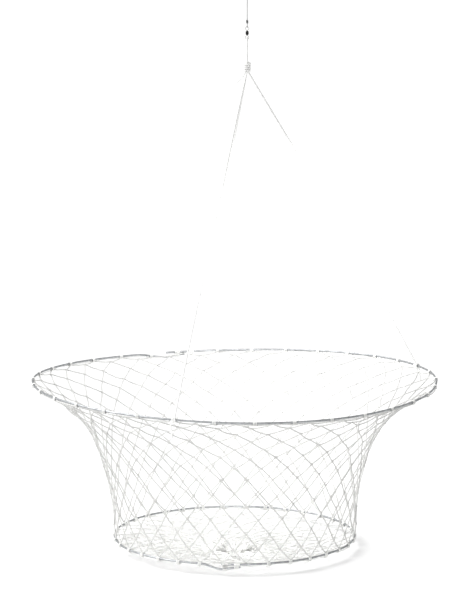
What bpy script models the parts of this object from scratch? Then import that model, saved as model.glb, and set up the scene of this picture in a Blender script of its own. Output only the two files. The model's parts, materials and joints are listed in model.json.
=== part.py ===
"""Folding crab trap: a two-ring drop net that hangs open on its line.

The origin is where the hang loop bears on its hook, and the line runs down from it on the Z axis.
The basket hangs a little to the left of the line, because its three legs aren't equally long.
Angles round the rings start at +X and run counter-clockwise seen from above, and -Y is the front.
"""

import math

import bmesh
import bpy
from mathutils import Matrix, Vector

# ---- driving dimensions, in metres and degrees ----

WIRE = 0.0030  # both rings
TOP_RADIUS = 0.3030  # of the wire's centreline
BOTTOM_RADIUS = 0.1820
TOP_Z = -0.6280
NET_DEPTH = 0.2360
BOTTOM_Z = TOP_Z - NET_DEPTH
BASKET_X = -0.0190  # of the middle of both rings, from the line

TOP_SADDLE = 0.0047  # how far the large ring is bent out of its plane
SADDLE_TURN = 24.0  # from a high point of the bend back to its mean height at +X
LAP_DIP = WIRE + 0.0008  # a wire's last end lies this far under its start
LAP_BOW = 0.0030  # and comes up to there from this much lower
LAP_RAMP = 10.0  # the stretch of wire that slopes down to the lap
LAP_STEP = 1.2  # the wire's steps near the lap
TOP_LAP = (111.5, 6.0, -1)  # where the wire starts, how far its ends overlap, which way it runs
BOTTOM_LAP = (264.1, 8.8, 1)

HITCH_ANGLES = {"rear": 103.5, "right": 21.0, "front": 254.0}
CORD = 0.0030  # bridle, harness loop and drawstring
LINE = 0.0012  # hauling line
TWINE = 0.0015  # lacing and seizings
GAP = 0.0003  # between pieces that touch

MESHES_ROUND = 34
LACING_OFFSET = (WIRE + TWINE) / 2 + 2 * GAP  # of the lacing's centreline from the wire's
LACING_TURN = 6  # points in one turn of the lacing
NET_EDGE = 0.0050  # the nets end this far from a ring's centreline
NET_SKIN = 0.0010
NET_FLARE = 0.41 / 0.59  # how much wider the net's mouth is than its straight lower part
NET_WAIST = 0.59 * TOP_RADIUS
FLARE_HEIGHT = 0.21 * TOP_RADIUS  # the flare shrinks by a factor e over this height
FLOOR_SAG = 0.0140
GATHER_Y = -0.0550  # the floor net is gathered in front of the small ring's middle
GATHER_RADIUS = 0.0085  # of the hole that the drawstring closes
GATHER_KNOT_HALF = 0.0042
GATHER_KNOT_RADIUS = 0.0050

APEX_Z = -0.1570
KNOT_HALF = 0.0085
KNOT_RADIUS = 0.0060
SWIVEL_Z = -0.1068
BARREL_HALF = 0.0032
BARREL_RADIUS = 0.0023
EYE_RADIUS = 0.0026  # of the eye wire's centreline
EYE_WIRE = 0.0008
EYE_DROP = BARREL_HALF + 0.0034  # from the barrel's middle to an eye's middle
LOOP_KNOT_Z = -0.0500
LOOP_KNOT_HALF = 0.0040
LOOP_KNOT_RADIUS = 0.0024
LINE_KNOT_Z = SWIVEL_Z + EYE_DROP + EYE_RADIUS + 0.0072
LINE_KNOT_HALF = 0.0024
LINE_KNOT_RADIUS = 0.0020
DRAWSTRING_Z = BOTTOM_Z - FLOOR_SAG - 0.0005

# ---- routes of the cords, from their upper ends ----

LEG_ROUTES = {
    "rear": [
        (-0.0010, 0.0030, -0.1667),
        (-0.0114, 0.0400, -0.2262),
        (-0.0372, 0.1285, -0.3650),
        (-0.0623, 0.2145, -0.5000),
        (-0.0887, 0.2915, -0.6274),
    ],
    "right": [
        (0.0030, 0.0012, -0.1667),
        (0.0392, 0.0158, -0.2275),
        (0.1208, 0.0484, -0.3650),
        (0.1970, 0.0800, -0.5000),
        (0.2611, 0.1074, -0.6181),
    ],
    "front": [
        (-0.0010, -0.0030, -0.1667),
        (-0.0148, -0.0404, -0.2270),
        (-0.0446, -0.1258, -0.3650),
        (-0.0748, -0.2110, -0.5000),
        (-0.1014, -0.2882, -0.6243),
    ],
}
APEX_TAIL = [
    (-0.0034, 0.0000, -0.1663),
    (-0.0058, -0.0006, -0.1700),
    (-0.0100, -0.0016, -0.1752),
    (-0.0148, -0.0022, -0.1792),
]
DRAWSTRING_ENDS = {  # their places across the floor are from the middle of the gather
    "left": [
        (-0.0056, -0.0010, -0.8745),
        (-0.0160, -0.0060, -0.8757),
        (-0.0290, -0.0150, -0.8757),
        (-0.0400, -0.0130, -0.8754),
        (-0.0440, -0.0020, -0.8754),
        (-0.0360, 0.0060, -0.8756),
        (-0.0250, 0.0040, -0.8758),
    ],
    "right": [
        (0.0056, -0.0010, -0.8745),
        (0.0170, -0.0070, -0.8757),
        (0.0300, -0.0190, -0.8756),
        (0.0430, -0.0220, -0.8752),
        (0.0520, -0.0120, -0.8749),
        (0.0460, 0.0000, -0.8753),
        (0.0330, 0.0020, -0.8757),
    ],
}


# ---- materials ----


def material(name, colour, roughness, metallic=0.0):
    made = bpy.data.materials.new(name)
    made.use_nodes = True
    shader = made.node_tree.nodes["Principled BSDF"]
    shader.inputs["Base Color"].default_value = (*colour, 1.0)
    shader.inputs["Roughness"].default_value = roughness
    shader.inputs["Metallic"].default_value = metallic
    return made


FINISHES = {
    "wire": ((0.33, 0.34, 0.35), 0.45, 0.9),
    "twine": ((0.80, 0.79, 0.75), 0.85, 0.0),
    "cord": ((0.90, 0.90, 0.88), 0.75, 0.0),
    "line": ((0.50, 0.50, 0.50), 0.60, 0.0),
    "black": ((0.03, 0.03, 0.03), 0.35, 0.6),
    "bright": ((0.62, 0.62, 0.60), 0.25, 1.0),
}


def finish(obj, kind):
    obj.data.materials.append(material(obj.name, *FINISHES[kind]))
    return obj


# ---- helpers ----


def smooth_step(t):
    t = min(max(t, 0.0), 1.0)
    return t * t * (3.0 - 2.0 * t)


def through(points, spacing):
    """Evenly spaced points along the smooth curve that passes through the given ones."""
    p = [Vector(q) for q in points]
    p = [2 * p[0] - p[1], *p, 2 * p[-1] - p[-2]]
    fine = []
    for a, b, c, d in zip(p, p[1:], p[2:], p[3:]):
        for k in range(24):
            t = k / 24
            even, odd = 2 * a - 5 * b + 4 * c - d, 3 * b - a - 3 * c + d
            fine.append(0.5 * (2 * b + (c - a) * t + even * t**2 + odd * t**3))
    fine.append(p[-2])
    steps = [(b - a).length for a, b in zip(fine, fine[1:])]
    count = max(3, round(sum(steps) / spacing))
    found, walked, k = [fine[0]], 0.0, 0
    for n in range(1, count):
        target = sum(steps) * n / count
        while walked + steps[k] < target:
            walked += steps[k]
            k += 1
        found.append(fine[k].lerp(fine[k + 1], (target - walked) / steps[k]))
    return [*found, fine[-1]]


def tube(name, points, diameter, kind, sides=8, cyclic=False):
    """A cord or wire along the points, with flat ends."""
    curve = bpy.data.curves.new(name, "CURVE")
    curve.dimensions = "3D"
    curve.bevel_depth = diameter / 2
    curve.bevel_resolution = sides // 2 - 2
    curve.use_fill_caps = not cyclic
    spline = curve.splines.new("POLY")
    spline.points.add(len(points) - 1)
    for point, place in zip(spline.points, points):
        point.co = (*place, 1.0)
    spline.use_cyclic_u = cyclic
    spline.use_smooth = True
    obj = bpy.data.objects.new(name, curve)
    bpy.context.collection.objects.link(obj)
    return finish(obj, kind)


def mesh_object(name, bm, kind, smooth=True):
    bmesh.ops.recalc_face_normals(bm, faces=bm.faces)
    mesh = bpy.data.meshes.new(name)
    bm.to_mesh(mesh)
    bm.free()
    if smooth:
        mesh.shade_smooth()
        mesh.set_sharp_from_angle(angle=math.radians(40))
    obj = bpy.data.objects.new(name, mesh)
    bpy.context.collection.objects.link(obj)
    return finish(obj, kind)


def turned(name, profile, kind, closed=False, sides=16):
    """A profile of (radius, height) points turned round Z. A closed one has a hole through its middle."""
    bm = bmesh.new()
    verts = [bm.verts.new((r, 0.0, z)) for r, z in profile]
    ends = zip(verts, verts[1:] + verts[:1]) if closed else zip(verts, verts[1:])
    edges = [bm.edges.new(pair) for pair in ends]
    bmesh.ops.spin(
        bm,
        geom=verts + edges,
        cent=(0, 0, 0),
        axis=(0, 0, 1),
        angle=2 * math.pi,
        steps=sides,
        use_duplicate=False,
    )
    bmesh.ops.remove_doubles(bm, verts=bm.verts, dist=1e-6)
    return mesh_object(name, bm, kind)


def barrel_profile(radius, half, waist=0.82):
    """The outline of a knot or a barrel: flat ends and a swelling side."""
    return [
        (0.0, -half),
        (radius * waist, -half),
        (radius, -half * 0.45),
        (radius, half * 0.45),
        (radius * waist, half),
        (0.0, half),
    ]


def sleeve(name, inner, wall, half, place, kind):
    """Turns of twine or cord round one or two wires: the inner outline, with a wall outside it."""
    outer = []
    for k, point in enumerate(inner):
        along = inner[(k + 1) % len(inner)] - inner[k - 1]
        outer.append(point + Vector((along.y, -along.x)).normalized() * wall)
    middle = [a.lerp(b, 1.25) for a, b in zip(inner, outer)]
    rows = [(inner, -half), (outer, -half), (middle, 0.0), (outer, half), (inner, half)]
    bm = bmesh.new()
    rings = [[bm.verts.new((x, y, z)) for x, y in outline] for outline, z in rows]
    for a, b in zip(rings, rings[1:] + rings[:1]):
        for k in range(len(inner)):
            n = (k + 1) % len(inner)
            bm.faces.new((a[k], a[n], b[n], b[k]))
    obj = mesh_object(name, bm, kind)
    obj.matrix_world = place
    return obj


def round_outline(radius, drop=0.0, sides=14):
    """A circle, or two half circles joined by straight sides that run down to a second wire."""
    found = []
    for k in range(sides):
        angle = 2 * math.pi * (k + 0.5) / sides
        x, y = radius * math.cos(angle), radius * math.sin(angle)
        found.append(Vector((x, y - (drop if y < 0 else 0.0))))
    return found


# ---- the rings ----


def saddle(angle):
    return TOP_SADDLE * math.sin(2 * math.radians(angle + SADDLE_TURN))


def lap_drop(lap, past):
    """How far a wire's last stretch lies under its start. Past is in degrees from where they begin to lap."""
    down = smooth_step((past + LAP_RAMP) / LAP_RAMP)
    back = smooth_step(past / lap[1])
    return down * (LAP_DIP + LAP_BOW * (1.0 - back))


def ring_point(radius, z, lap, turned_by, bend=None):
    """The wire's centreline after so many degrees along it. Its last stretch dips under its start."""
    start, _, way = lap
    angle = start + way * turned_by
    height = z + (bend(angle) if bend else 0.0) - lap_drop(lap, turned_by - 360.0)
    a = math.radians(angle)
    return Vector((BASKET_X + radius * math.cos(a), radius * math.sin(a), height))


def top_point(turned_by):
    return ring_point(TOP_RADIUS, TOP_Z, TOP_LAP, turned_by, saddle)


def bottom_point(turned_by):
    return ring_point(BOTTOM_RADIUS, BOTTOM_Z, BOTTOM_LAP, turned_by)


def along(lap, angle):
    """How many degrees of wire lie between its start and an angle."""
    return (angle - lap[0]) * lap[2] % 360.0


def wire_ring(name, point, lap, step):
    """A bent wire, in steps of so many degrees, which are shorter where its ends lap."""
    near, far, whole = lap[1] + LAP_RAMP / 4, 360.0 - LAP_RAMP, 360.0 + lap[1]
    route = []
    for start, end, reach in ((0.0, near, LAP_STEP), (near, far, step), (far, whole, LAP_STEP)):
        count = round((end - start) / reach)
        route += [point(start + (end - start) * k / count) for k in range(count)]
    return tube(name, [*route, point(whole)], WIRE, "wire")


def section_at(point, where):
    """The wire's section there: X points outwards, Y points up and Z runs along the wire."""
    middle = point(where)
    run = (point(where + 0.2) - point(where - 0.2)).normalized()
    out = Vector((middle.x - BASKET_X, middle.y, 0.0)).normalized()
    out = (out - out.dot(run) * run).normalized()
    up = run.cross(out)
    if up.z < 0:
        run, up = -run, -up
    place = Matrix((out, up, run)).transposed().to_4x4()
    place.translation = middle
    return place


def lacing(name, point, start, end):
    """Twine wound round the wire, one turn for each mesh of the net."""
    count = round((end - start) * MESHES_ROUND / 360.0 * LACING_TURN)
    route = []
    for k in range(count + 1):
        place = section_at(point, start + (end - start) * k / count)
        turn = 2 * math.pi * k / LACING_TURN
        route.append(place @ Vector((LACING_OFFSET * math.cos(turn), LACING_OFFSET * math.sin(turn), 0.0)))
    return tube(name, route, TWINE, "twine", sides=4)


def hitch(side):
    """Three turns of the leg's cord round the wire, and the cord's loose end."""
    where = along(TOP_LAP, HITCH_ANGLES[side])
    place = section_at(top_point, where)
    sleeve(f"hitch_{side}", round_outline(WIRE / 2 + 2 * GAP), CORD * 0.8, CORD * 1.5, place, "cord")
    reach = WIRE / 2 + 2 * GAP + CORD + 3 * GAP
    tail = [(0.0010, -reach), (0.0022, -reach - 0.0060), (0.0052, -reach - 0.0130), (0.0060, -reach - 0.0200)]
    route = [place @ Vector((x, y, 0.0)) for x, y in tail]
    tube(f"hitch_tail_{side}", through(route, 0.003), CORD * 0.9, "cord", sides=6)


def seizing(name, point, lap, share):
    """Twine wound round both ends of a ring's wire, at a share of the way along the lap."""
    where = lap[1] * share
    outline = round_outline(WIRE / 2 + 2 * GAP, lap_drop(lap, where))
    sleeve(name, outline, TWINE, TWINE * 1.6, section_at(point, where), "twine")


# ---- the nets ----


def net_radius(depth):
    """The side net's radius at a depth under the top ring."""
    return NET_WAIST * (1.0 + NET_FLARE * math.exp(-depth / FLARE_HEIGHT))


def skin(name, rows, kind):
    """A thin sheet with a hole in its middle, from rows of points that each go all the way round."""
    bm = bmesh.new()
    rings = [[bm.verts.new(p) for p in row] for row in rows]
    for a, b in zip(rings, rings[1:]):
        for k in range(len(a)):
            n = (k + 1) % len(a)
            bm.faces.new((a[k], b[k], b[n], a[n]))
    obj = mesh_object(name, bm, kind)
    shell = obj.modifiers.new("thickness", "SOLIDIFY")
    shell.thickness = NET_SKIN
    shell.offset = 0.0
    return obj


def row_of(radius, height, segments, bend=0.0, middle_y=0.0):
    found = []
    for k in range(segments):
        angle = 360.0 * k / segments
        a = math.radians(angle)
        rise = bend * saddle(angle)
        found.append((BASKET_X + radius * math.cos(a), middle_y + radius * math.sin(a), height + rise))
    return found


def side_net():
    rows, count = [], 9
    first, last = NET_EDGE * 0.5, NET_DEPTH - NET_EDGE
    for k in range(count + 1):
        share = k / count
        depth = first + (last - first) * share**1.5
        rows.append(row_of(net_radius(depth), TOP_Z - depth, 48, (1.0 - share) ** 2))
    return skin("side_net", rows, "twine")


def floor_height(radius):
    return BOTTOM_Z - FLOOR_SAG * (1.0 - (radius / BOTTOM_RADIUS) ** 2) ** 0.5


def floor_net():
    outer = BOTTOM_RADIUS - NET_EDGE
    rows, count = [], 5
    for k in range(count + 1):
        share = k / count
        radius = outer + (GATHER_RADIUS - outer) * share
        rows.append(row_of(radius, floor_height(radius), 40, middle_y=GATHER_Y * share))
    return skin("floor_net", rows, "twine")


# ---- swivel, line and knots ----


def swivel_eye(name, way):
    """A wire eye and the headed shank that turns inside the barrel."""
    middle = SWIVEL_Z + way * EYE_DROP
    bpy.ops.mesh.primitive_torus_add(
        major_segments=20,
        minor_segments=6,
        major_radius=EYE_RADIUS,
        minor_radius=EYE_WIRE / 2,
        location=(0, 0, middle),
        rotation=(math.pi / 2, 0, 0),
    )
    eye = bpy.context.object
    eye.name = eye.data.name = name
    eye.data.shade_smooth()
    finish(eye, "bright")
    head, neck = 0.0011, 0.00045  # radii
    near, far = BARREL_HALF - 0.0022, EYE_DROP - EYE_RADIUS + EYE_WIRE * 0.25
    under = near + 0.0007
    outline = [(0.0, near), (head, near), (head, under), (neck, under), (neck, far), (0.0, far)]
    shank = turned(name + "_shank", [(r, way * z) for r, z in outline], "bright", sides=12)
    shank.location.z = SWIVEL_Z
    shank.hide_render = True
    shank.display_type = "WIRE"
    join = eye.modifiers.new("shank", "BOOLEAN")
    join.operation = "UNION"
    join.object = shank


def swivel_barrel():
    """A turned shell, open at both ends, with a chamber for each shank's head."""
    bore, chamber, wall = 0.0008, 0.0015, 0.0008
    inside = BARREL_HALF - wall
    outline = [
        (bore, -BARREL_HALF),
        (BARREL_RADIUS * 0.6, -BARREL_HALF),
        (BARREL_RADIUS, -BARREL_HALF * 0.5),
        (BARREL_RADIUS, BARREL_HALF * 0.5),
        (BARREL_RADIUS * 0.6, BARREL_HALF),
        (bore, BARREL_HALF),
        (bore, inside),
        (chamber, inside - 0.0006),
        (chamber, -inside + 0.0006),
        (bore, -inside),
    ]
    turned("swivel_barrel", outline, "black", closed=True).location.z = SWIVEL_Z


def bight(middle, radius, way, reach, count=8):
    """A half circle round an eye's wire in the YZ plane, with two straight sides."""
    arc = []
    for k in range(count + 1):
        angle = math.pi * k / count
        arc.append(Vector((0.0, radius * math.cos(angle), middle - way * radius * math.sin(angle))))
    return [Vector((0.0, radius, middle + way * reach)), *arc, Vector((0.0, -radius, middle + way * reach))]


def line_and_swivel():
    half = LOOP_KNOT_HALF
    loop_bottom = LOOP_KNOT_Z + half + GAP
    loop = [
        (0.0, 0.0012, loop_bottom),
        (0.0, 0.0040, -0.0330),
        (0.0, 0.0085, -0.0160),
        (0.0, 0.0062, -0.0036),
        (0.0, 0.0000, LINE / 2),
        (0.0, -0.0062, -0.0036),
        (0.0, -0.0085, -0.0160),
        (0.0, -0.0040, -0.0330),
        (0.0, -0.0012, loop_bottom),
    ]
    tube("hang_loop", through(loop, 0.0027), LINE, "line")
    knot = turned("hang_loop_knot", barrel_profile(LOOP_KNOT_RADIUS, half), "line")
    knot.location.z = LOOP_KNOT_Z
    upper, lower = LOOP_KNOT_Z - half - GAP, LINE_KNOT_Z + LINE_KNOT_HALF + GAP
    count = round((upper - lower) / 0.003)
    run = [Vector((0.0, 0.0, upper + (lower - upper) * k / count)) for k in range(count + 1)]
    tube("hauling_line", run, LINE, "line")
    turned("line_knot", barrel_profile(LINE_KNOT_RADIUS, LINE_KNOT_HALF), "line").location.z = LINE_KNOT_Z
    wire = SWIVEL_Z + EYE_DROP + EYE_RADIUS
    reach = LINE_KNOT_Z - LINE_KNOT_HALF - GAP - wire
    tube("line_bight", bight(wire, (EYE_WIRE + LINE) / 2 + GAP, 1, reach), LINE, "line")
    swivel_barrel()
    swivel_eye("swivel_upper_eye", 1)
    swivel_eye("swivel_lower_eye", -1)


def harness():
    wire = SWIVEL_Z - EYE_DROP - EYE_RADIUS
    reach = wire - (APEX_Z + KNOT_HALF + GAP)
    tube("harness_loop", bight(wire, (EYE_WIRE + CORD) / 2 + GAP, -1, reach), CORD, "cord")
    turned("apex_knot", barrel_profile(KNOT_RADIUS, KNOT_HALF, 0.9), "cord").location.z = APEX_Z
    tube("apex_tail", through(APEX_TAIL, 0.003), CORD * 0.9, "cord", sides=6)
    for side, route in LEG_ROUTES.items():
        tube(f"bridle_leg_{side}", through(route, 0.025), CORD, "cord")
        hitch(side)


def mouth():
    wire_ring("top_ring", top_point, TOP_LAP, 3.8)
    seizing("top_ring_seizing", top_point, TOP_LAP, 0.6)
    right, front, rear = (along(TOP_LAP, HITCH_ANGLES[side]) for side in ("right", "front", "rear"))
    clear = 2.2
    lacing("top_lacing_right", top_point, rear + clear, right - clear)
    lacing("top_lacing_front", top_point, right + clear, front - clear)
    lacing("top_lacing_left", top_point, front + clear, 360.0 - clear)
    side_net()


def basket_floor():
    wire_ring("bottom_ring", bottom_point, BOTTOM_LAP, 5.6)
    for name, share in (("left", 0.2), ("right", 0.8)):
        seizing(f"bottom_seizing_{name}", bottom_point, BOTTOM_LAP, share)
    lacing("bottom_lacing", bottom_point, BOTTOM_LAP[1] + 3.0, 357.0)
    floor_net()
    middle = Vector((BASKET_X, GATHER_Y, 0.0))
    loop = row_of(GATHER_RADIUS - NET_SKIN - CORD, DRAWSTRING_Z, 16, middle_y=GATHER_Y)
    tube("drawstring_loop", loop, CORD * 0.8, "cord", sides=6, cyclic=True)
    knot = turned("drawstring_knot", barrel_profile(GATHER_KNOT_RADIUS, GATHER_KNOT_HALF), "cord")
    knot.location = middle + Vector((0.0, 0.0, DRAWSTRING_Z + CORD * 0.4 + GAP + GATHER_KNOT_HALF))
    for side, route in DRAWSTRING_ENDS.items():
        points = [middle + Vector(point) for point in route]
        tube(f"drawstring_end_{side}", through(points, 0.0045), CORD * 0.8, "cord", sides=6)


def main():
    for obj in list(bpy.data.objects):
        bpy.data.objects.remove(obj, do_unlink=True)
    line_and_swivel()
    harness()
    mouth()
    basket_floor()


main()
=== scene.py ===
"""Folding crab trap: the looks of a two-ring drop net, hung open from its line.

Angles round the rings start at +X and run counter-clockwise seen from above, and -Y is the front.
A place on a ring's wire is given in degrees along the wire from its upper end at the lap.
"""

import json
import math
import random

import bmesh
import bpy
from mathutils import Matrix, Vector, noise

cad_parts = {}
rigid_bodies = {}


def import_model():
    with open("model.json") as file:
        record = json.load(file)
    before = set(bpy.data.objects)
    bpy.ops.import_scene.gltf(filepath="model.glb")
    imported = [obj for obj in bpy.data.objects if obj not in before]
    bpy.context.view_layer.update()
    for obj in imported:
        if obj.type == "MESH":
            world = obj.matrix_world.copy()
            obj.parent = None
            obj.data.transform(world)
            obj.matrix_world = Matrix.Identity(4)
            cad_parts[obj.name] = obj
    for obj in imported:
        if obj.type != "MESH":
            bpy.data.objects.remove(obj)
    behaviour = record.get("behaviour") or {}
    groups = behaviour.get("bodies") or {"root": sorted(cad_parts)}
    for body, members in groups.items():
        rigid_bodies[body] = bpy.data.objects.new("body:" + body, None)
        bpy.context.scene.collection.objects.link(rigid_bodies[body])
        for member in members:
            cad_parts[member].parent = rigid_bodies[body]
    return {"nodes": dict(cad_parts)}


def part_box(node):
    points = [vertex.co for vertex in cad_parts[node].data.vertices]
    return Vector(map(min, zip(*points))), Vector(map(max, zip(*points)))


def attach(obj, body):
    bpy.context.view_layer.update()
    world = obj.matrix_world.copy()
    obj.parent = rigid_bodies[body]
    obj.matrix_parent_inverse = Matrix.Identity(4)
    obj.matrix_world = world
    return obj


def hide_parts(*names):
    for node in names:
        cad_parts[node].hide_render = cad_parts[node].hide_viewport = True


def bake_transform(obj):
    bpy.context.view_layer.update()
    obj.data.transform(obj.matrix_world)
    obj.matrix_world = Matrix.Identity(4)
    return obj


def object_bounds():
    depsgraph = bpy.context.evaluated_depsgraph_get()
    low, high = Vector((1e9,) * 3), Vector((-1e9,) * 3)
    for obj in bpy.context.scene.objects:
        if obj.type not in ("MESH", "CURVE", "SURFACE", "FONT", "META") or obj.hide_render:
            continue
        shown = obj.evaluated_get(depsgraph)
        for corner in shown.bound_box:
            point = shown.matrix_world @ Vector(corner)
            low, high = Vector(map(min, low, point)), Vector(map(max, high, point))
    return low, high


bl_info = {
    "name": "Folding crab trap",
    "version": (1, 0, 0),
    "blender": (4, 5, 0),
    "location": "3D View > Sidebar > Crab trap",
    "description": "Rings, knotted netting, bridle, swivel and line of a folding drop net",
    "category": "Add Mesh",
}

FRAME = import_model()
CAD_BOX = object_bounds()
MM = 0.001

# ---- the design's measures, in metres and degrees, as the solids have them ----

WIRE = 0.0030
TOP_RADIUS = 0.3030
BOTTOM_RADIUS = 0.1820
TOP_Z = -0.6280
NET_DEPTH = 0.2360
BOTTOM_Z = TOP_Z - NET_DEPTH
BASKET_X = -0.0190
TOP_SADDLE = 0.0047
SADDLE_TURN = 24.0
LAP_DIP = WIRE + 0.0008  # a wire's last end lies this far under its start
LAP_BOW = 0.0030  # and comes up to there from this much lower
LAP_RAMP = 10.0
TOP_LAP = (111.5, 6.0, -1)  # where the wire starts, how far its ends overlap, which way it runs
BOTTOM_LAP = (264.1, 8.8, 1)
HITCH_ANGLES = {"rear": 103.5, "right": 21.0, "front": 254.0}
CORD = 0.0030
LINE = 0.0012
NET_WAIST = 0.59 * TOP_RADIUS
NET_FLARE = 0.41 / 0.59
FLARE_HEIGHT = 0.21 * TOP_RADIUS
FLOOR_SAG = 0.0140
GATHER_Y = -0.0550
GATHER_RADIUS = 0.0085
DRAWSTRING_Z = BOTTOM_Z - FLOOR_SAG - 0.0005
MESHES_ROUND = 34
MESH_STEP = 360.0 / MESHES_ROUND
FIRST_LASHING = 275.3  # the rings' lashings lie at this angle and every mesh round from it

# How far down the netting each row of knots lies, in mm from the top ring.
# The bottom ring is half a mesh below the last.
KNOT_ROWS = (10.6, 30.3, 51.5, 71.2, 90.3, 109.4, 129.1, 150.3, 172.1, 193.3, 215.1, 237.9, 262.1)

LEG_ROUTES = {
    "rear": [
        (-0.0010, 0.0030, -0.1667),
        (-0.0114, 0.0400, -0.2262),
        (-0.0372, 0.1285, -0.3650),
        (-0.0623, 0.2145, -0.5000),
        (-0.0887, 0.2915, -0.6274),
    ],
    "right": [
        (0.0030, 0.0012, -0.1667),
        (0.0392, 0.0158, -0.2275),
        (0.1208, 0.0484, -0.3650),
        (0.1970, 0.0800, -0.5000),
        (0.2611, 0.1074, -0.6181),
    ],
    "front": [
        (-0.0010, -0.0030, -0.1667),
        (-0.0148, -0.0404, -0.2270),
        (-0.0446, -0.1258, -0.3650),
        (-0.0748, -0.2110, -0.5000),
        (-0.1014, -0.2882, -0.6243),
    ],
}
APEX_TAIL = [
    (-0.0034, 0.0000, -0.1663),
    (-0.0058, -0.0006, -0.1700),
    (-0.0100, -0.0016, -0.1752),
    (-0.0148, -0.0022, -0.1792),
]
DRAWSTRING_ENDS = {  # their places across the floor are from the middle of the gather
    "left": [
        (-0.0056, -0.0010, -0.8745),
        (-0.0160, -0.0060, -0.8757),
        (-0.0290, -0.0150, -0.8757),
        (-0.0400, -0.0130, -0.8754),
        (-0.0440, -0.0020, -0.8754),
        (-0.0360, 0.0060, -0.8756),
        (-0.0250, 0.0040, -0.8758),
    ],
    "right": [
        (0.0056, -0.0010, -0.8745),
        (0.0170, -0.0070, -0.8757),
        (0.0300, -0.0190, -0.8756),
        (0.0430, -0.0220, -0.8752),
        (0.0520, -0.0120, -0.8749),
        (0.0460, 0.0000, -0.8753),
        (0.0330, 0.0020, -0.8757),
    ],
}
HANG_LOOP = [
    (0.0, 0.0012, -0.0457),
    (0.0, 0.0040, -0.0330),
    (0.0, 0.0085, -0.0160),
    (0.0, 0.0062, -0.0036),
    (0.0, 0.0000, 0.0006),
    (0.0, -0.0062, -0.0036),
    (0.0, -0.0085, -0.0160),
    (0.0, -0.0040, -0.0330),
    (0.0, -0.0012, -0.0457),
]

# ---- colours, sizes and light that a user would change ----


def linear(code):
    """An sRGB hex colour as linear red, green and blue."""
    found = []
    for k in (1, 3, 5):
        share = int(code[k : k + 2], 16) / 255
        found.append(share / 12.92 if share <= 0.04045 else ((share + 0.055) / 1.055) ** 2.4)
    return found


def length_prop(name, text, value):
    return bpy.props.FloatProperty(name=name, description=text, default=value, min=0.0001, unit="LENGTH")


def colour_prop(name, text, code):
    return bpy.props.FloatVectorProperty(
        name=name, description=text, default=linear(code), size=3, subtype="COLOR", min=0.0, max=1.0
    )


def strength_prop(name, text, value):
    return bpy.props.FloatProperty(name=name, description=text, default=value, min=0.0)


def power_prop(name, text, value):
    return bpy.props.FloatProperty(name=name, description=text, default=value, min=0.0, unit="POWER")


class TrapSizes(bpy.types.PropertyGroup):
    netting: length_prop("Netting twine", "Diameter of the twine that the nets are made of", 0.0025)
    knot: length_prop("Net knot", "Width of a knot of the netting", 0.0050)
    lashing: length_prop("Lashing twine", "Diameter of the twine round the rings", 0.0017)
    slack: length_prop("Slack", "How far a strand of the netting hangs out of line", 0.0009)
    uneven: length_prop("Unevenness", "How far a knot lies from its even place", 0.0010)
    seed: bpy.props.IntProperty(name="Seed", description="Picks one uneven net of many", default=7, min=0)


class TrapColours(bpy.types.PropertyGroup):
    wire: colour_prop("Wire", "Galvanised wire", "#B9BBBD")
    wire_dull: colour_prop("Dull wire", "The darker patches of the galvanising", "#9C9EA0")
    twine: colour_prop("Twine", "Undyed nylon twine", "#E0E0DE")
    twine_shade: colour_prop("Soiled twine", "Where the twine is greyer", "#CDCDCB")
    lashing: colour_prop("Lashing", "White nylon twine round the rings", "#FAFAF8")
    # painted light: the floor net and its tuft take this whiter copy of the netting twine, for the light
    # among their many strands; the lashing and the cord take it as their greyer tone
    off_white_and_painted_light: colour_prop("Off-white twine and painted light", "Off-white twine, and the floor net's twine painted whiter", "#F6F6F4")
    cord: colour_prop("Cord", "White polyester cord", "#FDFDFC")
    line: colour_prop("Line", "Grey braided line", "#8B8C8C")
    barrel: colour_prop("Swivel barrel", "Blackened brass", "#161616")
    eye: colour_prop("Swivel eyes", "Bright steel wire", "#B9B9B6")


class TrapStage(bpy.types.PropertyGroup):
    floor: colour_prop("Floor", "Pale floor", "#F8F8F8")
    key: strength_prop("Key", "Strength of the main light", 3.15)
    fill: strength_prop("Fill", "Strength of the light from all round", 0.45)
    mouth: power_prop("Mouth softboxes", "Power of the softboxes over the mouth", 0.5)
    low: power_prop("Low softbox", "Power of the low softbox in front", 0.18)
    gather: power_prop("Gather softbox", "Power of the small softbox on the gather", 0.012)
    left: power_prop("Left softbox", "Power of the softbox on the left", 0.3)


# ---- helpers ----


def add(tree, kind, inputs=None, **settings):
    """Adds a node with its settings. An input is a value or another node's output."""
    node = tree.nodes.new(kind)
    for key, value in settings.items():
        setattr(node, key, value)
    for key, value in (inputs or {}).items():
        if isinstance(value, bpy.types.NodeSocket):
            tree.links.new(value, node.inputs[key])
        else:
            node.inputs[key].default_value = value
    return node


def smooth_step(t):
    t = min(max(t, 0.0), 1.0)
    return t * t * (3.0 - 2.0 * t)


def through(points, spacing):
    """Evenly spaced points along the smooth curve that passes through the given ones."""
    p = [Vector(q) for q in points]
    p = [2 * p[0] - p[1], *p, 2 * p[-1] - p[-2]]
    fine = []
    for a, b, c, d in zip(p, p[1:], p[2:], p[3:]):
        for k in range(24):
            t = k / 24
            even, odd = 2 * a - 5 * b + 4 * c - d, 3 * b - a - 3 * c + d
            fine.append(0.5 * (2 * b + (c - a) * t + even * t**2 + odd * t**3))
    fine.append(p[-2])
    steps = [(b - a).length for a, b in zip(fine, fine[1:])]
    count = max(3, round(sum(steps) / spacing))
    found, walked, k = [fine[0]], 0.0, 0
    for n in range(1, count):
        target = sum(steps) * n / count
        while walked + steps[k] < target:
            walked += steps[k]
            k += 1
        found.append(fine[k].lerp(fine[k + 1], (target - walked) / steps[k]))
    return [*found, fine[-1]]


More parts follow.
